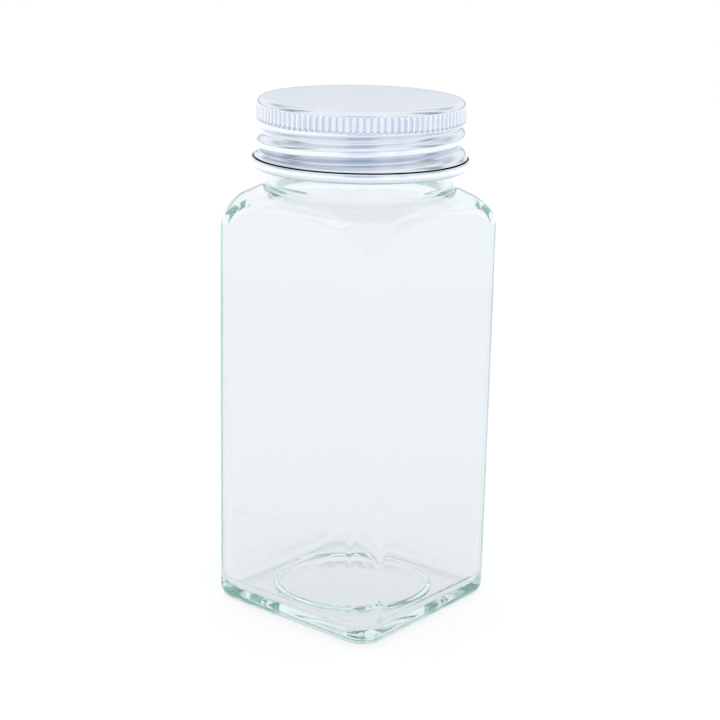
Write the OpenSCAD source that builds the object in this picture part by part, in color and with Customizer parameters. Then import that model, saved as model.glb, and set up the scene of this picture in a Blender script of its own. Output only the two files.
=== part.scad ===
// Square clear-glass specimen jar with a rolled aluminium screw cap and a foam liner.
// Millimetres, Z up. The origin is the centre of the square foot, on the table.
// X and Y run square to the flat sides. The cap is stored fully screwed down.

/* [Glass body] */
// Width across the flat sides
body_w = 46; // [30:0.5:90]
// Radius of the four upright corners
corner_r = 6.26; // [3.5:0.1:12]
// Radius where the sides turn under into the foot
heel_r = 3; // [1:0.1:3.4]
// Thickness of the side walls
wall_t = 2.4; // [1.5:0.1:4]
// Height of the inside floor above the table, at its edge
floor_z = 2.9; // [2:0.1:9]
// Radius of the inside edge around the floor
floor_r = 3.2; // [1:0.1:3.8]
// Radius of the raised round middle of the floor, across its top
middle_r = 16.2; // [8:0.1:16.4]
// Height of that raised middle
middle_h = 1.4; // [0.3:0.1:2.5]
// Radius of the round push-up under the foot
pushup_r = 17.7; // [8:0.1:19.5]
// Depth of the push-up at its centre
pushup_d = 0.7; // [0.3:0.1:1.2]

/* [Shoulder and neck] */
// Radius that turns the shoulder down at the corners
turn_r = 8.5; // [6:0.1:14]
// Distance of that radius's centre from the jar's axis
turn_x = 21.6; // [15:0.05:22.5]
// Height of that radius's centre
turn_z = 84.83; // [40:0.01:200]
// Slope of the upper shoulder, in degrees
slope = 25.5; // [10:0.5:35]
// Softness of the edge between the shoulder and each flat side
brow = 4.6; // [1:0.1:6]
// Outside radius of the neck
neck_r = 20.3; // [14:0.05:22]
// Inside radius of the mouth
bore_r = 18.2; // [10:0.05:20]
// Radius of the small fillets where the neck meets the shoulder
neck_fillet = 1.2; // [0.5:0.1:2]
// Height of the sealing rim
rim_z = 111.8; // [60:0.1:240]
// Rounding of the rim's two edges
rim_edge = 0.6; // [0.2:0.05:1]

/* [Screw thread] */
// Rise in one turn, six threads to the inch
pitch = 4.2333; // [2:0.01:6]
// Height of the cap's rolled groove where its angle is zero
groove_z0 = 103.488; // [60:0.01:240]
// Angle where the cap's groove starts, low on the skirt
groove_from = -170; // [-360:5:0]
// Angle where the cap's groove ends, under the knurl
groove_to = 440; // [180:5:720]
// Turn over which the groove runs out at each end
groove_fade = 60; // [20:5:120]
// Depth of the cap's rolled groove
groove_d = 1.2; // [0.6:0.05:1.4]
// Half of the groove's width along the axis
groove_half = 1.7; // [1:0.05:2]
// Angle where the jar's thread starts, low on the neck
rib_from = -200; // [-360:5:0]
// Angle where the jar's thread ends, near the rim
rib_to = 220; // [90:5:360]
// Turn over which the jar's thread runs out at each end
rib_fade = 35; // [10:5:90]
// Crest radius of the jar's thread
rib_r = 21.35; // [15:0.05:21.6]
// Half of the thread's width at its root
rib_half = 1.1; // [0.6:0.05:1.3]

/* [Cap] */
// Height of the cap's flat top
cap_top = 113.6; // [61:0.1:242]
// Sheet thickness
sheet_t = 0.3; // [0.2:0.02:0.5]
// Outside radius of the skirt
skirt_r = 22.28; // [16:0.02:24]
// Radius of the edge around the top
top_edge = 1.3; // [0.6:0.1:2]
// Height of the knurl's upper end
knurl_top = 112.3; // [60:0.1:241]
// Height of the knurl's lower end
knurl_bottom = 109; // [58:0.1:240]
// Number of knurl ribs
knurl_n = 100; // [48:1:120]
// Depth of the knurl
knurl_d = 0.28; // [0.1:0.02:0.4]
// Height where the rolled part of the skirt starts
roll_top = 108.8; // [58:0.1:240]
// Height where the flare begins to open
flare_top = 103.6; // [55:0.1:236]
// Height of the crease between the flare and the curl
flare_bottom = 101.26; // [52:0.01:234]
// Outside radius of the flare at the crease
flare_r = 23.08; // [17:0.02:25]
// Outside radius of the curled bead
curl_r = 23.4; // [17:0.02:25]
// Lowest point of the curled bead
curl_bottom = 98.95; // [50:0.05:232]
// Width of the curled bead
curl_w = 1.7; // [1:0.05:2.4]

/* [Liner] */
// Radius of the foam disc
liner_r = 20.65; // [15:0.05:22]
// Gap left above and below the foam disc
liner_gap = 0.05; // [0.02:0.01:0.3]

/* [Hidden] */
$fn = 96;
half_w = body_w / 2;
inner_half = half_w - wall_t;
inner_corner = corner_r - wall_t;
inner_turn = turn_r - wall_t;
inner_brow = brow - 1.2;
pushup_sphere = (pushup_r * pushup_r + pushup_d * pushup_d) / (2 * pushup_d);
// The blended part of the shoulder starts at this height, above the plain column.
loft_z = turn_z - 4.8;
loft_rows = 22;
flat_steps = 8;
corner_steps = 9;
ledge = 0.02;
ring_steps = 80;
ring_rows = 22;
rib_steps = 112;
cap_under = cap_top - sheet_t;
knurl_in = skirt_r - knurl_d - sheet_t;
aluminium = [0.80, 0.82, 0.86];
glass = [0.80, 0.88, 0.88, 0.45];
foam = [0.93, 0.93, 0.91];

// Height of the cap's groove at any angle, counted through its turns.
function groove_z(a) = groove_z0 + pitch * a / 360;
// 0 outside a span, 1 inside it, with an even run-out at both ends.
function span(a, from, to, fade) = max(0, min(1, (a - from) / fade, (to - a) / fade));
function smooth(t) = t * t * (3 - 2 * t);
// One turn of the groove, as a rounded hollow.
function hollow(d) = abs(d) < groove_half ? 0.5 + 0.5 * cos(180 * d / groove_half) : 0;
function hollow_turn(a, z) =
    hollow(z - groove_z(a)) * smooth(span(a, groove_from, groove_to, groove_fade));
// The groove passes any side of the cap up to three times.
function hollow_at(a, z) =
    max(hollow_turn(a - 360, z), hollow_turn(a, z), hollow_turn(a + 360, z));
function ends(z) =
    smooth(max(0, min(1, (roll_top - z) / 0.9, (z - flare_bottom) / 0.7)));
function flare(z) = z > flare_top ? 0 : (flare_top - z) / (flare_top - flare_bottom);
function skirt_at(a, z) = skirt_r + (flare_r - skirt_r) * pow(flare(z), 1.6)
    - groove_d * hollow_at(a, z) * ends(z);

// Height of the shoulder's sloping part at a distance x from the axis.
function slope_z(turn, x) = turn_z + turn / cos(slope) + (turn_x - x) * tan(slope);

// ---------- glass jar ----------

// Side view of one upright corner, from its own centre out to its skin.
module corner_profile(r, fillet, z0, z1) {
    difference() {
        translate([0, z0]) square([r, z1 - z0]);
        translate([r - fillet, z0]) square([fillet, fillet]);
    }
    translate([r - fillet, z0 + fillet])
        intersection() {
            circle(r = fillet);
            translate([0, -fillet]) square([fillet, fillet]);
        }
}

// Cross-section of the flat-sided part, square across.
module slab_profile(w, fillet, z0, z1) {
    translate([-w + fillet, z0]) square([2 * (w - fillet), z1 - z0]);
    translate([-w, z0 + fillet]) square([2 * w, z1 - z0 - fillet]);
    for (s = [-1, 1])
        translate([s * (w - fillet), z0 + fillet]) circle(r = fillet);
}

// A square column with rounded corners and a rounded lower edge.
module column(w, r, fillet, z0, z1) {
    c = w - r;
    for (q = [0:3])
        rotate([0, 0, 90 * q])
            translate([c, c, 0])
                rotate_extrude(angle = 90) corner_profile(r, fillet, z0, z1);
    rotate([90, 0, 0])
        translate([0, 0, -c]) linear_extrude(2 * c) slab_profile(w, fillet, z0, z1);
    rotate([90, 0, 90])
        translate([0, 0, -c]) linear_extrude(2 * c) slab_profile(w, fillet, z0, z1);
}

// Centre height of the fillet between an upright round wall and the shoulder.
function fillet_z(turn, wall) =
    slope_z(turn, wall + neck_fillet) + neck_fillet / cos(slope);

// Radius of the round shoulder at a height: turn, cone, then fillet up to the wall.
function round_at(z, turn, wall) =
    let (top = fillet_z(turn, wall), low = top - neck_fillet * cos(slope),
         cone_foot = turn_z + turn * cos(slope))
    z >= top ? wall
    : z > low ? wall + neck_fillet - sqrt(pow(neck_fillet, 2) - pow(top - z, 2))
    : z > cone_foot ? turn_x + (turn_z + turn / cos(slope) - z) / tan(slope)
    : z > turn_z ? turn_x + sqrt(turn * turn - pow(z - turn_z, 2))
    : turn_x + turn;

// Outline of the square column at each angle, closest together round its corners.
function outline_angles(w, r) =
    let (c = w - r, half = atan(c / w))
    [for (q = [0:3]) each concat(
        [for (i = [0:flat_steps - 1]) 90 * q - half + 2 * half * i / flat_steps],
        [for (i = [0:corner_steps - 1])
            let (b = 90 * i / corner_steps)
            90 * q + atan2(c + r * sin(b), c + r * cos(b))])];

// Distance from the axis to the square column's side at an angle.
function square_at(a, w, r) =
    let (c = w - r, b = abs(a - 90 * round(a / 90)), m = c * (cos(b) + sin(b)))
    tan(b) * w <= c ? w / cos(b) : m + sqrt(m * m - 2 * c * c + r * r);

// The lesser of two radii, with the edge between them rounded over a width k.
function soft_min(p, q, k) = min(p, q) - pow(max(k - abs(p - q), 0), 2) / (4 * k);

function shoulder_at(a, z, w, r, turn, soft, wall) =
    let (side = square_at(a, w, r), reach = turn_x + turn + 0.1,
         k = soft * (reach - side) / (reach - w))
    soft_min(side, round_at(z, turn, wall), k) - ledge;

// The shoulder, from the plain square column up to the round wall above it.
module shoulder(w, r, turn, soft, wall) {
    top = fillet_z(turn, wall);
    angles = outline_angles(w, r);
    n = len(angles);
    rings = [for (j = [0:loft_rows])
        loft_z + (top - loft_z) * (1 - pow(1 - j / loft_rows, 1.6))];
    points = [for (z = rings, a = angles)
        let (d = shoulder_at(a, z, w, r, turn, soft, wall))
        [d * cos(a), d * sin(a), z]];
    sides = [for (j = [0:loft_rows - 1], i = [0:n - 1])
        let (p = j * n + i, q = j * n + (i + 1) % n)
        each [[p, p + n, q], [q, p + n, q + n]]];
    floor_face = [[for (i = [0:n - 1]) i]];
    top_face = [[for (i = [0:n - 1]) loft_rows * n + n - 1 - i]];
    polyhedron(points = points, faces = concat(sides, floor_face, top_face));
}

module neck_profile() {
    low = fillet_z(turn_r, neck_r);
    translate([0, low]) square([neck_r, rim_z - rim_edge - low]);
    translate([0, rim_z - 2 * rim_edge]) square([neck_r - rim_edge, 2 * rim_edge]);
    translate([neck_r - rim_edge, rim_z - rim_edge]) circle(r = rim_edge);
}

// The mouth, opening out over the rounded inner edge of the rim.
module bore_profile() {
    low = fillet_z(inner_turn, bore_r);
    translate([0, low]) square([bore_r, rim_z + 1 - low]);
    difference() {
        translate([bore_r - 0.1, rim_z - rim_edge]) square([rim_edge + 0.1, rim_edge + 1]);
        translate([bore_r + rim_edge, rim_z - rim_edge]) circle(r = rim_edge);
    }
}

// Half of the thread's outline: radius and height from its middle line.
rib_out = [
    [neck_r - 0.2, -rib_half],
    [neck_r + 0.45, -0.78 * rib_half],
    [rib_r - 0.1, -0.36 * rib_half],
    [rib_r, 0],
    [rib_r - 0.1, 0.36 * rib_half],
    [neck_r + 0.45, 0.78 * rib_half],
    [neck_r - 0.2, rib_half]
];

function rib_point(p, a) =
    let (f = smooth(span(a, rib_from, rib_to, rib_fade)),
         r = rib_out[0][0] + (p[0] - rib_out[0][0]) * max(f, 0.02),
         h = p[1] * (0.35 + 0.65 * f))
    [r * cos(a), r * sin(a), groove_z(a) + pitch / 2 + h];

module jar_thread() {
    n = len(rib_out);
    step = (rib_to - rib_from) / rib_steps;
    points = [for (i = [0:rib_steps], p = rib_out) rib_point(p, rib_from + i * step)];
    sides = [for (i = [0:rib_steps - 1], k = [0:n - 1])
        let (a = i * n + k, b = i * n + (k + 1) % n)
        each [[a, a + n, b], [b, a + n, b + n]]];
    start = [for (k = [1:n - 2]) [0, k, k + 1]];
    last = rib_steps * n;
    finish = [for (k = [1:n - 2]) [last, last + k + 1, last + k]];
    polyhedron(points = points, faces = concat(sides, start, finish));
}

// The raised round middle of the floor, with a sloping edge.
module floor_middle() {
    root = 0.5;
    translate([0, 0, floor_z - root])
        cylinder(h = middle_h + root, r1 = middle_r + middle_h * 0.7 + root * 0.7, r2 = middle_r);
}

module jar_glass() {
    color(glass)
        difference() {
            union() {
                column(half_w, corner_r, heel_r, 0, loft_z);
                shoulder(half_w, corner_r, turn_r, brow, neck_r);
                rotate_extrude() neck_profile();
                jar_thread();
            }
            difference() {
                union() {
                    column(inner_half, inner_corner, floor_r, floor_z, loft_z);
                    shoulder(inner_half, inner_corner, inner_turn, inner_brow, bore_r);
                    rotate_extrude() bore_profile();
                }
                floor_middle();
            }
            translate([0, 0, pushup_d - pushup_sphere]) sphere(r = pushup_sphere);
        }
}

// ---------- aluminium cap ----------

// The knurl is drawn as one many-sided outline.
module knurl_band() {
    outline = [for (i = [0:2 * knurl_n - 1])
        let (r = skirt_r - (i % 2) * knurl_d, a = 180 * i / knurl_n)
        [r * cos(a), r * sin(a)]];
    translate([0, 0, knurl_bottom])
        difference() {
            linear_extrude(knurl_top - knurl_bottom) polygon(outline);
            translate([0, 0, -1]) cylinder(r = knurl_in, h = knurl_top - knurl_bottom + 2);
        }
}

// Flat top with a rounded edge, drawn in side view and turned.
module top_profile() {
    translate([0, cap_under]) square([skirt_r - top_edge, sheet_t]);
    translate([skirt_r - top_edge, knurl_top])
        difference() {
            intersection() {
                circle(r = top_edge + 0.02);
                square([top_edge + 0.02, top_edge]);
            }
            circle(r = top_edge - sheet_t - knurl_d);
        }
}

// Plain band between the knurl and the rolled thread.
module band_profile() {
    translate([knurl_in, roll_top])
        square([skirt_r + 0.02 - knurl_in, knurl_bottom - roll_top]);
}

// The curl is a hollow roll of the sheet, left open by a narrow slit inside.
module curl_outline(w) {
    x = curl_r - curl_w / 2;
    low = curl_bottom + curl_w / 2;
    high = flare_bottom - 0.02 - curl_w / 2;
    translate([x, low]) circle(r = w);
    translate([x, high]) circle(r = w);
    translate([x - w, low]) square([2 * w, high - low]);
}

module curl_profile() {
    difference() {
        union() {
            curl_outline(curl_w / 2);
            translate([curl_r - curl_w / 2, flare_bottom - 0.5]) square([0.65, 0.5]);
        }
        curl_outline(curl_w / 2 - sheet_t);
        translate([curl_r - curl_w - 0.5, curl_bottom + curl_w / 2]) square([1, 0.3]);
    }
}

// The skirt's rolled part: outer skin, then inner skin, one sheet apart.
module rolled_skirt() {
    rows = ring_rows;
    n = ring_steps;
    height = roll_top - flare_bottom;
    skin = [for (s = [0, 1], j = [0:rows], i = [0:n - 1])
        let (a = 360 * i / n, z = flare_bottom + height * j / rows,
             r = skirt_at(a, z) - s * sheet_t)
        [r * cos(a), r * sin(a), z]];
    inner = (rows + 1) * n;
    outside = [for (j = [0:rows - 1], i = [0:n - 1])
        let (a = j * n + i, b = j * n + (i + 1) % n)
        each [[a, a + n, b], [b, a + n, b + n]]];
    inside = [for (f = outside) [f[0] + inner, f[2] + inner, f[1] + inner]];
    foot = [for (i = [0:n - 1])
        let (a = i, b = (i + 1) % n)
        each [[a, b, a + inner], [b, b + inner, a + inner]]];
    head = [for (f = foot) [f[0] + rows * n, f[2] + rows * n, f[1] + rows * n]];
    polyhedron(points = skin, faces = concat(outside, inside, foot, head));
}

module cap_shell() {
    color(aluminium)
        union() {
            rotate_extrude() top_profile();
            knurl_band();
            rotate_extrude() band_profile();
            rolled_skirt();
            rotate_extrude() curl_profile();
        }
}

// ---------- foam liner ----------

module cap_liner() {
    low = rim_z + liner_gap;
    color(foam)
        translate([0, 0, low]) cylinder(r = liner_r, h = cap_under - liner_gap - low);
}

jar_glass();
cap_shell();
cap_liner();
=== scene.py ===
import math

import bpy
from mathutils import Matrix, Vector


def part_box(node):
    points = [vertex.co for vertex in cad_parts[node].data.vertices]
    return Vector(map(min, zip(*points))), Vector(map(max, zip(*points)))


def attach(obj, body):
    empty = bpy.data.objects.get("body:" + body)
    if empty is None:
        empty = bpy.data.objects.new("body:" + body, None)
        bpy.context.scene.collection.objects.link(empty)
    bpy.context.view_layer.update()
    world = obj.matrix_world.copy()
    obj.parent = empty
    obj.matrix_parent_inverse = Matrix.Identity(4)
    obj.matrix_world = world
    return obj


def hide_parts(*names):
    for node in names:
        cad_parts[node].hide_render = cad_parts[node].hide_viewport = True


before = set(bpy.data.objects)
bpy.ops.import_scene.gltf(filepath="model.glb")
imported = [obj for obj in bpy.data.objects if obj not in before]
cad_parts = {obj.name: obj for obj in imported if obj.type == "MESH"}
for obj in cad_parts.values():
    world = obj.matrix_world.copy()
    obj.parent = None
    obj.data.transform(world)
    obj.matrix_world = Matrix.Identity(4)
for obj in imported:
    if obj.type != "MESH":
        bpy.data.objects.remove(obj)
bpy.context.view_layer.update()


def as_lists(b):
    return [[float(v) for v in p] for p in b]


jar_box = as_lists(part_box("jar_glass"))
cap_box = as_lists(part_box("cap_shell"))
liner_box = as_lists(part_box("cap_liner"))

MM = 0.001
HALF = (jar_box[1][0] - jar_box[0][0]) / 2 / MM  # half the width across the flats
RIM = jar_box[1][2] / MM
TOP = cap_box[1][2] / MM
CURL_LOW = cap_box[0][2] / MM

# ---------------------------------------------------------------- the shape

CORNER, HEEL, WALL = 6.26, 3.0, 2.4
FLOOR, FLOOR_R, RING, STEP = 2.9, 3.2, 16.2, 1.4
PUSH_R, PUSH_D = 17.7, 0.7
TURN, TURN_X, TURN_Z, SLOPE = 8.5, 21.6, 84.83, math.radians(25.5)
BROW, NECK, BORE, FILLET, EDGE = 4.6, 20.3, 18.2, 1.2, 0.6
PITCH, GROOVE_Z0 = 4.2333, 103.488
# the jar's thread: the angles where it starts and ends, run-out, half width, height
RIB_FROM, RIB_TO, RIB_FADE, RIB_HALF, RIB_OUT = -200, 220, 35, 1.1, 1.05
LOFT = TURN_Z - 4.8  # the blended part of the shoulder starts here
FLAT_R = RING - 0.6  # inside this radius the floor's rings are plain circles


def clamp(v, lo=0.0, hi=1.0):
    return max(lo, min(hi, v))


def smooth(t):
    t = clamp(t)
    return t * t * (3 - 2 * t)


def groove_z(a):
    return GROOVE_Z0 + PITCH * a / 360


def span(a, lo, hi, fade):
    return clamp(min((a - lo) / fade, (hi - a) / fade))


def fillet_z(turn, wall):
    x = wall + FILLET
    return (
        TURN_Z
        + turn / math.cos(SLOPE)
        + (TURN_X - x) * math.tan(SLOPE)
        + FILLET / math.cos(SLOPE)
    )


def round_at(z, turn, wall):
    top = fillet_z(turn, wall)
    low = top - FILLET * math.cos(SLOPE)
    if z >= top:
        return wall
    if z > low:
        return wall + FILLET - math.sqrt(max(FILLET**2 - (top - z) ** 2, 0))
    if z > TURN_Z + turn * math.cos(SLOPE):
        return TURN_X + (TURN_Z + turn / math.cos(SLOPE) - z) / math.tan(SLOPE)
    if z > TURN_Z:
        return TURN_X + math.sqrt(max(turn**2 - (z - TURN_Z) ** 2, 0))
    return TURN_X + turn


def square_at(a, w, r):
    c = w - r
    b = abs(a - math.pi / 2 * round(a / (math.pi / 2)))
    m = c * (math.cos(b) + math.sin(b))
    if math.tan(b) * w <= c:
        return w / math.cos(b)
    return m + math.sqrt(max(m * m - 2 * c * c + r * r, 0))


def soft_min(p, q, k):
    return min(p, q) - max(k - abs(p - q), 0) ** 2 / (4 * k)


def shoulder_at(a, z, w, r, turn, soft, wall):
    side = square_at(a, w, r)
    reach = TURN_X + turn + 0.1
    k = soft * (reach - side) / (reach - w)
    return soft_min(side, round_at(z, turn, wall), k)


def jar_angles():
    """Columns of the jar's mesh: even on the flats, closer round the corners."""
    c = HALF - CORNER
    half = math.atan2(c, HALF)
    out = []
    for q in range(4):
        base = q * math.pi / 2
        out += [base - half + 2 * half * i / 26 for i in range(26)]
        for i in range(26):
            b = math.pi / 2 * i / 26
            out.append(
                base + math.atan2(c + CORNER * math.sin(b), c + CORNER * math.cos(b))
            )
    return out


def rib_at(a, z):
    """How far the jar's screw thread stands out, at an angle in degrees."""
    best = 0.0
    for k in (-1, 0, 1):
        t = a + 360 * k
        f = smooth(span(t, RIB_FROM, RIB_TO, RIB_FADE))
        if f > 0:
            d = abs(z - groove_z(t) - PITCH / 2) / RIB_HALF
            if d < 1:
                best = max(best, RIB_OUT * f * (1 - d * d) ** 0.8)
    return best


def rings_to_mesh(name, rings, start_pole, end_pole, recess_shade=None):
    """A skin through rings of points. Poles close the first and last rings.

    The last argument gives, for each ring, how much painted shade its points hold, from
    0 to 1.
    """
    verts, faces = [], []
    n = len(rings[0])
    for ring in rings:
        verts += [Vector(p) * MM for p in ring]
    rows = len(rings)
    for j in range(rows - 1):
        k = j + 1
        for i in range(n):
            m = (i + 1) % n
            faces.append((j * n + i, j * n + m, k * n + m, k * n + i))
    for pole, row, flip in ((start_pole, 0, True), (end_pole, rows - 1, False)):
        verts.append(Vector(pole) * MM)
        p = len(verts) - 1
        for i in range(n):
            m = (i + 1) % n
            f = (row * n + i, row * n + m, p)
            faces.append(f[::-1] if flip else f)
    mesh = bpy.data.meshes.new(name)
    mesh.from_pydata([tuple(v) for v in verts], [], faces)
    mesh.validate()
    mesh.update()
    for p in mesh.polygons:
        p.use_smooth = True
    if recess_shade:
        layer = mesh.attributes.new("recess_shade", "FLOAT", "POINT")
        depths = [d for row in recess_shade for d in row]
        depths += [0.0] * (len(mesh.vertices) - len(depths))
        layer.data.foreach_set("value", depths)
    obj = bpy.data.objects.new(name, mesh)
    bpy.context.scene.collection.objects.link(obj)
    return obj


def ring(radii, angles, z):
    return [(r * math.cos(a), r * math.sin(a), z) for r, a in zip(radii, angles)]


def drift(a, z, seed):
    """Slow unevenness of moulded glass, a few hundredths of a millimetre."""
    return 0.5 * math.sin(2 * a + z * 0.061 + seed) * math.sin(
        z * 0.043 + seed * 1.7
    ) + 0.5 * math.sin(3 * a - z * 0.035 + 2.3 * seed)


def floor_at(r, wall):
    """Height of the glass floor at a radius, with the wall at another radius."""
    heel = clamp(r - (wall - FLOOR_R), 0, FLOOR_R)
    rise = FLOOR_R - math.sqrt(FLOOR_R**2 - heel**2)
    middle = STEP * (1 - smooth((r - RING) / 1.0))
    crown = 0.1 * (1 - (r / RING) ** 2 if r < RING else 0)
    return FLOOR + rise + middle + crown


def build_jar():
    angles = jar_angles()
    deg = [math.degrees(a) for a in angles]
    rings = []
    # push-up and bearing face
    big = (PUSH_R**2 + PUSH_D**2) / (2 * PUSH_D)
    for t in (0.15, 0.3, 0.45, 0.6, 0.72, 0.82, 0.9, 0.95, 0.98, 1.0):
        r = PUSH_R * t
        z = PUSH_D - (big - math.sqrt(big**2 - r**2))
        rings.append(ring([r] * len(angles), angles, max(z, 0)))
    for t in (0.06, 0.5, 0.94):
        edge = [square_at(a, HALF - HEEL, CORNER - HEEL) for a in angles]
        rings.append(
            ring([PUSH_R + (e - PUSH_R) * t for e in edge], angles, 0.0)
        )
    for i in range(11):
        b = math.pi / 2 * i / 10
        w = HALF - HEEL * (1 - math.sin(b))
        r = CORNER - HEEL * (1 - math.sin(b))
        rings.append(
            ring([square_at(a, w, r) for a in angles], angles, HEEL * (1 - math.cos(b)))
        )
    # walls and shoulder
    top = fillet_z(TURN, NECK)
    for i in range(1, 24):
        z = HEEL + (LOFT - HEEL) * i / 24
        rings.append(
            ring([square_at(a, HALF, CORNER) for a in angles], angles, z)
        )
    for i in range(55):
        z = LOFT + (top - LOFT) * (1 - (1 - i / 54) ** 1.5)
        rings.append(
            ring(
                [
                    shoulder_at(a, z, HALF, CORNER, TURN, BROW, NECK) for a in angles
                ],
                angles,
                z,
            )
        )
    # neck and thread
    z = top + 0.4
    while z < RIM - EDGE - 0.1:
        rings.append(
            ring([NECK + rib_at(d, z) for d in deg], angles, z)
        )
        z += 0.4 if z < 101.5 else 0.16
    for i in range(9):
        b = math.pi * i / 8
        centre = NECK - EDGE if b <= math.pi / 2 else BORE + EDGE
        r = centre + EDGE * math.cos(b)
        rings.append(
            ring([r] * len(angles), angles, RIM - EDGE + EDGE * math.sin(b))
        )
    # inside: mouth, shoulder, walls, floor
    in_turn, in_w, in_c, in_soft = TURN - WALL, HALF - WALL, CORNER - WALL, BROW - 1.2
    in_top = fillet_z(in_turn, BORE)
    z = RIM - EDGE - 2.0
    while z > in_top + 0.5:
        rings.append(ring([BORE] * len(angles), angles, z))
        z -= 2.0
    for i in range(50):
        t = 1 - i / 49
        z = LOFT + (in_top - LOFT) * (1 - (1 - t) ** 1.5)
        rings.append(
            ring(
                [
                    shoulder_at(a, z, in_w, in_c, in_turn, in_soft, BORE)
                    for a in angles
                ],
                angles,
                z,
            )
        )
    steps = 30
    for i in range(1, steps):
        z = LOFT + (FLOOR + FLOOR_R - LOFT) * i / steps
        e = smooth((z - 9) / 14) * smooth((80 - z) / 14)
        rings.append(
            ring(
                [
                    square_at(a, in_w, in_c) + 0.05 * e * drift(a, z, 0.7)
                    for a in angles
                ],
                angles,
                z,
            )
        )
    # the floor: a round table in the middle, a trough round it, and the heel
    wall = [square_at(a, in_w, in_c) for a in angles]
    for i in range(44):
        row = []
        for a, e in zip(angles, wall):
            if i < 14:
                b = math.pi / 2 * i / 14
                r = e - FLOOR_R * (1 - math.cos(b))
            else:
                r = (e - FLOOR_R) + (FLAT_R - e + FLOOR_R) * (i - 14) / 29
            row.append((r * math.cos(a), r * math.sin(a), floor_at(r, e)))
        rings.append(row)
    for t in (0.9, 0.75, 0.5, 0.25):
        r = FLAT_R * t
        rings.append(ring([r] * len(angles), angles, floor_at(r, in_w)))
    low, high = (0, 0, PUSH_D), (0, 0, floor_at(0, in_w))
    return rings_to_mesh("jar_body", rings, low, high)


# ---------------------------------------------------------------- the cap

SHEET, SKIRT, TOP_EDGE = 0.3, 22.28, 1.3
KNURL_TOP, KNURL_LOW, KNURLS, KNURL_D = 112.3, 109.0, 100, 0.28
ROLL_TOP, FLARE_TOP, FLARE_LOW, FLARE_R = 108.8, 103.6, 101.26, 22.86
UNDERCUT, LIP = 101.34, 101.08
GROOVE_D, GROOVE_HALF = 1.2, 1.7
GROOVE_FROM, GROOVE_TO, GROOVE_FADE = -170, 440, 60
# painted shade: how dark the knurl's valleys and the curl's underside are painted
KNURL_SHADE, CURL_SHADE = 0.35, 0.35
GAP_R = FLARE_R - 0.34  # how far in the crease's gap goes
CURL_R, CURL_W = 23.4, 1.7


def hollow_at(a, z):
    """How deep in the rolled groove a point of the skirt lies, from 0 to 1."""
    best = 0.0
    for k in (-1, 0, 1):
        t = a + 360 * k
        d = abs(z - groove_z(t))
        if d < GROOVE_HALF:
            f = smooth(span(t, GROOVE_FROM, GROOVE_TO, GROOVE_FADE))
            best = max(best, f * (0.5 + 0.5 * math.cos(math.pi * d / GROOVE_HALF)))
    return best


def skirt_at(a, z):
    """Outside radius of the skirt between the curl's crease and the plain band."""
    ends = smooth(min((ROLL_TOP + 0.2 - z) / 0.9, (z - FLARE_LOW) / 0.7))
    f = clamp((FLARE_TOP - z) / (FLARE_TOP - FLARE_LOW))
    return (
        SKIRT + (FLARE_R - SKIRT) * f**1.6 - GROOVE_D * hollow_at(a, z) * ends
    )


def root_shade_at(a, z):
    """Painted shade in the skirt's rolled groove: its upper side is darkest, and the
    low groove darker than the high.
    """
    low = smooth((FLARE_TOP + 1.3 - z) / 1.5)
    best = 0.0
    for k in (-1, 0, 1):
        t = a + 360 * k
        d = z - groove_z(t)
        if abs(d) < GROOVE_HALF:
            f = smooth(span(t, GROOVE_FROM, GROOVE_TO, GROOVE_FADE))
            f *= smooth((d + 0.35) / 0.7)
            best = max(best, f * (0.5 + 0.5 * math.cos(math.pi * d / GROOVE_HALF)))
    return best * (0.12 + 0.50 * low)


def knurl_at(a, z):
    """Depth of the knurl: rounded ribs whose ends run out."""
    run = smooth((z - KNURL_LOW) / 0.35) * smooth((KNURL_TOP + 0.15 - z) / 0.45)
    wave = 0.5 - 0.5 * math.cos(math.radians(a) * KNURLS)
    return KNURL_D * run * wave**0.8


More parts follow.
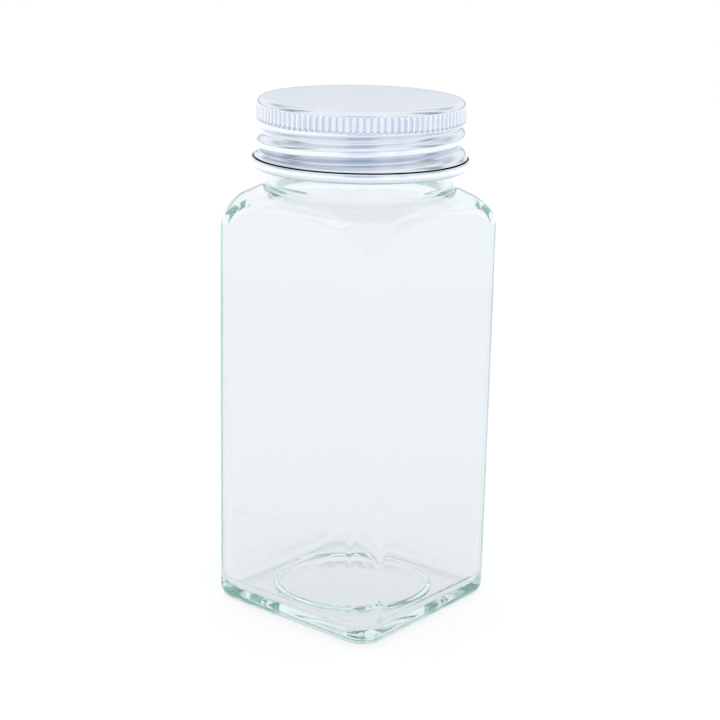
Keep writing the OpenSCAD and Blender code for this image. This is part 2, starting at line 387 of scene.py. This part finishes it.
def build_cap():
    n = KNURLS * 8
    angles = [2 * math.pi * i / n for i in range(n)]
    deg = [math.degrees(a) for a in angles]
    rings, recess_shade = [], []

    def turned(r, z, depth=0.0):
        rings.append(ring([r] * n, angles, z))
        recess_shade.append([depth] * n)

    def shaped(z, radius, depth):
        rings.append(ring([radius(d, z) for d in deg], angles, z))
        recess_shade.append([depth(d, z) for d in deg])

    c = SKIRT - TOP_EDGE
    for t in (0.12, 0.3, 0.5, 0.7, 0.85, 0.95, 1.0):
        turned(c * t, TOP)
    for i in range(1, 11):
        b = math.pi / 2 * i / 10
        z = KNURL_TOP + TOP_EDGE * math.cos(b)
        shaped(
            z,
            lambda d, z: c + TOP_EDGE * math.sin(b) - knurl_at(d, z),
            lambda d, z: KNURL_SHADE * knurl_at(d, z) / KNURL_D,
        )
    # the knurl's valleys are darkened with painted shade
    z = KNURL_TOP - 0.15
    while z > KNURL_LOW - 0.05:
        shaped(
            z,
            lambda d, z: SKIRT - knurl_at(d, z),
            lambda d, z: KNURL_SHADE * knurl_at(d, z) / KNURL_D,
        )
        z -= 0.17
    z = KNURL_LOW - 0.1
    while z > UNDERCUT + 0.05:
        shaped(z, skirt_at, root_shade_at)
        z -= 0.14
    # the crease: under the flare, down into the gap and up to the curl's lip; the third
    # number is painted shade, black in the gap
    for r, z, depth in (
        (FLARE_R - 0.02, UNDERCUT, 0.0),
        (FLARE_R - 0.06, UNDERCUT - 0.05, 0.6),
        (FLARE_R - 0.22, UNDERCUT - 0.12, 1.0),
        (GAP_R, UNDERCUT - 0.30, 1.0),
        (GAP_R, UNDERCUT - 0.80, 1.0),
        (FLARE_R - 0.15, UNDERCUT - 1.05, 1.0),
        (CURL_R - 0.36, UNDERCUT - 0.85, 1.0),
        (CURL_R - 0.33, LIP - 0.12, 1.0),
        (CURL_R - 0.28, LIP - 0.03, 0.7),
        (CURL_R - 0.22, LIP, 0.0),
        (CURL_R - 0.10, LIP - 0.04, 0.0),
        (CURL_R - 0.03, LIP - 0.14, 0.0),
        (CURL_R, LIP - 0.32, 0.0),
    ):
        turned(r, z, depth)
    # the curl: round under the skirt and back up inside; its underside is darkened with
    # painted shade
    w = CURL_W / 2
    x, lo = CURL_R - w, CURL_LOW + w
    for i in range(1, 15):
        b = math.radians(-180 * i / 14)
        under = smooth((-b - 0.4) / 0.4) * smooth((2.2 + b) / 0.4)
        turned(x + w * math.cos(b), lo + w * math.sin(b), CURL_SHADE * under)
    turned(GAP_R - SHEET, UNDERCUT - 0.8)
    turned(GAP_R - SHEET, UNDERCUT - 0.1)
    # inside skin, up to the underside of the top
    z = FLARE_TOP - 1.2
    while z < KNURL_LOW - 0.1:
        shaped(z, lambda d, z: skirt_at(d, z) - SHEET, lambda d, z: 0.0)
        z += 0.2
    z = KNURL_LOW
    while z < KNURL_TOP:
        shaped(
            z,
            lambda d, z: SKIRT - SHEET - 0.2 - knurl_at(d, z) * 0.4,
            lambda d, z: 0.0,
        )
        z += 0.5
    for i in range(6):
        b = math.pi / 2 * i / 5
        r = TOP_EDGE - SHEET
        turned(c - 0.2 + r * math.cos(b), KNURL_TOP + r * math.sin(b))
    for t in (0.8, 0.5, 0.2):
        turned(c * t, TOP - SHEET)
    low, high = (0, 0, TOP - SHEET), (0, 0, TOP)
    return rings_to_mesh("cap_metal", rings[::-1], low, high, recess_shade[::-1])


def build_liner():
    lo, hi = liner_box[0][2] / MM, liner_box[1][2] / MM
    r = (liner_box[1][0] - liner_box[0][0]) / 2 / MM
    n = 144
    angles = [2 * math.pi * i / n for i in range(n)]
    e = 0.25
    prof = [(r * t, lo) for t in (0.25, 0.5, 0.7)]
    # the ring where the foam has been pressed on the rim
    prof += [(BORE, lo), (BORE + 0.4, lo + 0.05), (19.25, lo + 0.09)]
    prof += [(NECK - 0.4, lo + 0.05), (NECK, lo), (r - e, lo)]
    prof += [
        (r - e + e * math.sin(b), lo + e - e * math.cos(b))
        for b in [math.pi / 2 * i / 4 for i in range(1, 5)]
    ]
    prof += [
        (r - e + e * math.cos(b), hi - e + e * math.sin(b))
        for b in [math.pi / 2 * i / 4 for i in range(5)]
    ]
    prof += [(r * t, hi) for t in (0.7, 0.4)]
    rings = [ring([p[0]] * n, angles, p[1]) for p in prof]
    return rings_to_mesh("liner_disc", rings, (0, 0, lo), (0, 0, hi))


jar = build_jar()
cap = build_cap()
liner = build_liner()

for obj, body, node, slot in (
    (jar, "jar", "jar_glass", "jar_glass"),
    (cap, "cap", "cap_shell", "cap_metal"),
    (liner, "liner", "cap_liner", "liner_foam"),
):
    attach(obj, body)
    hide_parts(node)

# ---------------------------------------------------------------- materials


def new_material(name):
    m = bpy.data.materials.new(name)
    m.use_nodes = True
    nt = m.node_tree
    nt.nodes.clear()
    out = nt.nodes.new("ShaderNodeOutputMaterial")
    bsdf = nt.nodes.new("ShaderNodeBsdfPrincipled")
    nt.links.new(bsdf.outputs["BSDF"], out.inputs["Surface"])
    return m, nt, bsdf, out


def bump(nt, bsdf, height, distance, strength):
    b = nt.nodes.new("ShaderNodeBump")
    b.inputs["Distance"].default_value = distance
    b.inputs["Strength"].default_value = strength
    nt.links.new(height, b.inputs["Height"])
    nt.links.new(b.outputs["Normal"], bsdf.inputs["Normal"])


def noise(nt, coords, scale, detail=2.0, rough=0.5, stretch=None):
    n = nt.nodes.new("ShaderNodeTexNoise")
    n.inputs["Scale"].default_value = scale
    n.inputs["Detail"].default_value = detail
    n.inputs["Roughness"].default_value = rough
    if stretch:
        mp = nt.nodes.new("ShaderNodeMapping")
        mp.inputs["Scale"].default_value = stretch
        nt.links.new(coords, mp.inputs["Vector"])
        coords = mp.outputs["Vector"]
    nt.links.new(coords, n.inputs["Vector"])
    return n.outputs["Fac"]


def ramp(nt, value, stops):
    r = nt.nodes.new("ShaderNodeValToRGB")
    e = r.color_ramp.elements
    e[0].position, e[0].color = stops[0]
    e[1].position, e[1].color = stops[-1]
    for p, c in stops[1:-1]:
        x = e.new(p)
        x.color = c
    nt.links.new(value, r.inputs["Fac"])
    return r.outputs["Color"]


def glass_material():
    m, nt, bsdf, out = new_material("clear_glass")
    bsdf.inputs["Base Color"].default_value = (1, 1, 1, 1)
    bsdf.inputs["Transmission Weight"].default_value = 1.0
    bsdf.inputs["IOR"].default_value = 1.52
    co = nt.nodes.new("ShaderNodeTexCoord").outputs["Object"]
    # polished glass with the faintest handling haze
    fine = noise(nt, co, 60, 3, 0.6)
    r = nt.nodes.new("ShaderNodeMapRange")
    r.inputs["From Min"].default_value = 0.45
    r.inputs["From Max"].default_value = 0.75
    r.inputs["To Min"].default_value = 0.0
    r.inputs["To Max"].default_value = 0.012
    nt.links.new(fine, r.inputs["Value"])
    nt.links.new(r.outputs["Result"], bsdf.inputs["Roughness"])
    wave = noise(nt, co, 34, 1, 0.4, stretch=(1, 1, 0.35))
    bump(nt, bsdf, wave, 0.00004, 0.5)
    body = nt.nodes.new("ShaderNodeVolumeAbsorption")
    body.inputs["Color"].default_value = (0.62, 0.86, 0.80, 1)
    body.inputs["Density"].default_value = 8
    nt.links.new(body.outputs["Volume"], out.inputs["Volume"])
    return m


def metal_material():
    m, nt, bsdf, out = new_material("rolled_aluminium")
    bsdf.inputs["Metallic"].default_value = 1.0
    co = nt.nodes.new("ShaderNodeTexCoord").outputs["Object"]
    cloud = noise(nt, co, 90, 4, 0.6)
    col = ramp(
        nt,
        cloud,
        [(0.3, (0.84, 0.87, 0.92, 1)), (0.7, (0.89, 0.915, 0.95, 1))],
    )
    # painted shade from the mesh attribute: the knurl's valleys, the rolled groove and
    # the curl's underside are darkened, and the crease over the curl is painted black
    deep = nt.nodes.new("ShaderNodeAttribute")
    deep.attribute_name = "recess_shade"
    painted_shade = ramp(
        nt,
        deep.outputs["Fac"],
        [
            (0.0, (1, 1, 1, 1)),
            (0.5, (0.60, 0.64, 0.71, 1)),
            (0.8, (0.30, 0.33, 0.40, 1)),
            (1.0, (0.01, 0.012, 0.015, 1)),
        ],
    )
    mul = nt.nodes.new("ShaderNodeMix")
    mul.data_type = "RGBA"
    mul.blend_type = "MULTIPLY"
    mul.inputs["Factor"].default_value = 1.0
    nt.links.new(col, mul.inputs["A"])
    nt.links.new(painted_shade, mul.inputs["B"])
    nt.links.new(mul.outputs["Result"], bsdf.inputs["Base Color"])
    # grain of the rolled sheet, all one way
    grain = noise(nt, co, 700, 2, 0.6, stretch=(0.05, 1, 1))
    r = nt.nodes.new("ShaderNodeMapRange")
    r.inputs["To Min"].default_value = 0.16
    r.inputs["To Max"].default_value = 0.26
    nt.links.new(grain, r.inputs["Value"])
    nt.links.new(r.outputs["Result"], bsdf.inputs["Roughness"])
    bump(nt, bsdf, grain, 0.000008, 0.25)
    return m


def foam_material():
    m, nt, bsdf, out = new_material("fine_foam")
    co = nt.nodes.new("ShaderNodeTexCoord").outputs["Object"]
    v = nt.nodes.new("ShaderNodeTexVoronoi")
    v.inputs["Scale"].default_value = 2600
    nt.links.new(co, v.inputs["Vector"])
    col = ramp(
        nt,
        v.outputs["Distance"],
        [(0.0, (0.80, 0.80, 0.78, 1)), (0.6, (0.92, 0.92, 0.90, 1))],
    )
    nt.links.new(col, bsdf.inputs["Base Color"])
    bsdf.inputs["Roughness"].default_value = 0.75
    bump(nt, bsdf, v.outputs["Distance"], 0.00008, 0.5)
    return m


MAKERS = (jar, glass_material), (cap, metal_material), (liner, foam_material)
for obj, make in MAKERS:
    obj.data.materials.append(make())

# ---------------------------------------------------------------- stage


def math_node(nt, op, a, b=None, clamp_it=False):
    n = nt.nodes.new("ShaderNodeMath")
    n.operation = op
    n.use_clamp = clamp_it
    for i, v in enumerate((a, b)):
        if v is None:
            continue
        if isinstance(v, (int, float)):
            n.inputs[i].default_value = v
        else:
            nt.links.new(v, n.inputs[i])
    return n.outputs[0]


def card(nt, way, azimuth, wide, soft, low, high, soft_z):
    """1 inside a soft-edged card round the jar at an azimuth in degrees, else 0."""
    dot = nt.nodes.new("ShaderNodeVectorMath")
    dot.operation = "DOT_PRODUCT"
    flat = nt.nodes.new("ShaderNodeVectorMath")
    flat.operation = "NORMALIZE"
    mul = nt.nodes.new("ShaderNodeVectorMath")
    mul.operation = "MULTIPLY"
    mul.inputs[1].default_value = (1, 1, 0)
    nt.links.new(way, mul.inputs[0])
    nt.links.new(mul.outputs[0], flat.inputs[0])
    nt.links.new(flat.outputs[0], dot.inputs[0])
    a = math.radians(azimuth)
    dot.inputs[1].default_value = (math.cos(a), math.sin(a), 0)
    angle = math_node(nt, "ARCCOSINE", dot.outputs["Value"])
    across = math_node(
        nt,
        "MULTIPLY",
        math_node(nt, "SUBTRACT", math.radians(wide), angle),
        1 / math.radians(soft),
        True,
    )
    sep = nt.nodes.new("ShaderNodeSeparateXYZ")
    nt.links.new(way, sep.inputs[0])
    rise = math_node(nt, "ARCSINE", sep.outputs["Z"])
    over = math_node(
        nt,
        "MULTIPLY",
        math_node(nt, "SUBTRACT", rise, math.radians(low)),
        1 / math.radians(soft_z),
        True,
    )
    under = math_node(
        nt,
        "MULTIPLY",
        math_node(nt, "SUBTRACT", math.radians(high), rise),
        1 / math.radians(soft_z),
        True,
    )
    return math_node(nt, "MULTIPLY", math_node(nt, "MULTIPLY", across, over), under)


def tint(nt, fac, base, colour):
    x = nt.nodes.new("ShaderNodeMix")
    x.data_type = "RGBA"
    nt.links.new(fac, x.inputs["Factor"])
    if isinstance(base, tuple):
        x.inputs["A"].default_value = base
    else:
        nt.links.new(base, x.inputs["A"])
    x.inputs["B"].default_value = colour
    return x.outputs["Result"]


TABLE_R, TABLE_SIDES = 0.6, 96
FAR_FROM, FAR_SOFT = 0.31, 0.05  # metres from the jar where the table gets brighter
table = bpy.data.meshes.new("floor")
rim = [2 * math.pi * i / TABLE_SIDES for i in range(TABLE_SIDES)]
table.from_pydata(
    [(TABLE_R * math.cos(a), TABLE_R * math.sin(a), 0) for a in rim],
    [],
    [tuple(range(TABLE_SIDES))],
)
floor = bpy.data.objects.new("floor", table)
floor.location = (0, 0, -0.0002)
bpy.context.scene.collection.objects.link(floor)
m, nt, bsdf, out = new_material("light_table")
bsdf.inputs["Base Color"].default_value = (0.30, 0.30, 0.30, 1)
bsdf.inputs["Roughness"].default_value = 1.0
bsdf.inputs["Specular IOR Level"].default_value = 0.0
bsdf.inputs["Emission Strength"].default_value = 1.0
floor.data.materials.append(m)

# The table glows white to the camera. What the glass shows of it is greyer and
# bluer, and mirrored rays find it brighter beyond a distance from the jar.
path = nt.nodes.new("ShaderNodeLightPath")
place = nt.nodes.new("ShaderNodeTexCoord").outputs["Object"]
out_from = nt.nodes.new("ShaderNodeVectorMath")
out_from.operation = "LENGTH"
nt.links.new(place, out_from.inputs[0])
past = math_node(nt, "SUBTRACT", out_from.outputs["Value"], FAR_FROM)
far = math_node(nt, "MULTIPLY", past, 1 / FAR_SOFT, True)
glossy = path.outputs["Is Glossy Ray"]
refracted = path.outputs["Is Transmission Ray"]
mirrored = math_node(nt, "SUBTRACT", glossy, refracted, True)
far = math_node(nt, "MULTIPLY", far, mirrored)
glow = tint(nt, far, (0.612, 0.637, 0.662, 1), (0.95, 0.97, 1.0, 1))
glow = tint(nt, path.outputs["Is Camera Ray"], glow, (0.78, 0.78, 0.78, 1))
nt.links.new(glow, bsdf.inputs["Emission Color"])

# The world is white to the camera. Reflections see cards in a pale room, and
# rays through the glass see the plain room with a greyer lower half.
world = bpy.data.worlds.new("studio")
bpy.context.scene.world = world
world.use_nodes = True
wt = world.node_tree
wt.nodes.clear()


way = wt.nodes.new("ShaderNodeTexCoord").outputs["Generated"]
room = (0.93, 0.965, 0.99, 1)
look = room
# (azimuth, half width, soft edge, lowest, highest, soft edge up and down, colour)
CARDS = [
    (130, 200, 8, -95, 0, 4, (1.06, 1.08, 1.12, 1)),
    (130, 200, 8, 0, 7, 3, (0.25, 0.29, 0.32, 1)),
    (130, 70, 20, 26, 44, 6, (0.50, 0.54, 0.62, 1)),
    (-50, 22, 9, -11, 26, 4, (0.52, 0.57, 0.74, 1)),
    (-6, 5, 4, -11, 26, 4, (0.55, 0.60, 0.74, 1)),
    (40, 14, 6, 4, 60, 8, (0.30, 0.34, 0.36, 1)),
    (220, 14, 6, 4, 60, 8, (0.30, 0.34, 0.36, 1)),
]
for azimuth, wide, soft, low, high, soft_z, colour in CARDS:
    mask = card(wt, way, azimuth, wide, soft, low, high, soft_z)
    look = tint(wt, mask, look, colour)
below = card(wt, way, 0, 200, 8, -95, 0, 3)
through = tint(wt, below, room, (0.85, 0.885, 0.915, 1))
path = wt.nodes.new("ShaderNodeLightPath")
glassy = wt.nodes.new("ShaderNodeMix")
glassy.data_type = "RGBA"
wt.links.new(path.outputs["Is Transmission Ray"], glassy.inputs["Factor"])
wt.links.new(look, glassy.inputs["A"])
wt.links.new(through, glassy.inputs["B"])
white = (1, 1, 1, 1)
seen = tint(wt, path.outputs["Is Camera Ray"], glassy.outputs["Result"], white)
wo = wt.nodes.new("ShaderNodeOutputWorld")
bg = wt.nodes.new("ShaderNodeBackground")
wt.links.new(seen, bg.inputs["Color"])
bg.inputs["Strength"].default_value = 1.0
wt.links.new(bg.outputs["Background"], wo.inputs["Surface"])

# light is mirrored many times inside the thick foot, which few bounces turn black
BOUNCES = 128
cycles = bpy.context.scene.cycles
cycles.max_bounces = BOUNCES
cycles.transmission_bounces = BOUNCES
cycles.glossy_bounces = 64


# ---------------------------------------------------------------- camera

cam = bpy.data.cameras.new("camera")
cam.lens = 87.29
cam.sensor_width = 36
cam.clip_start = 0.01
camera = bpy.data.objects.new("camera", cam)
right = Vector((0.76843, 0.63963, 0.01994)).normalized()
up = Vector((-0.19146, 0.20006, 0.96090)).normalized()
back = right.cross(up).normalized()
up = back.cross(right)
turn = Matrix((right, up, back)).transposed()
camera.matrix_world = Matrix.Translation((0.23643, -0.28613, 0.16229)) @ turn.to_4x4()
bpy.context.scene.collection.objects.link(camera)
bpy.context.scene.camera = camera

view = bpy.context.scene.view_settings
view.view_transform = "Standard"
view.look = "None"
view.exposure = 0.0
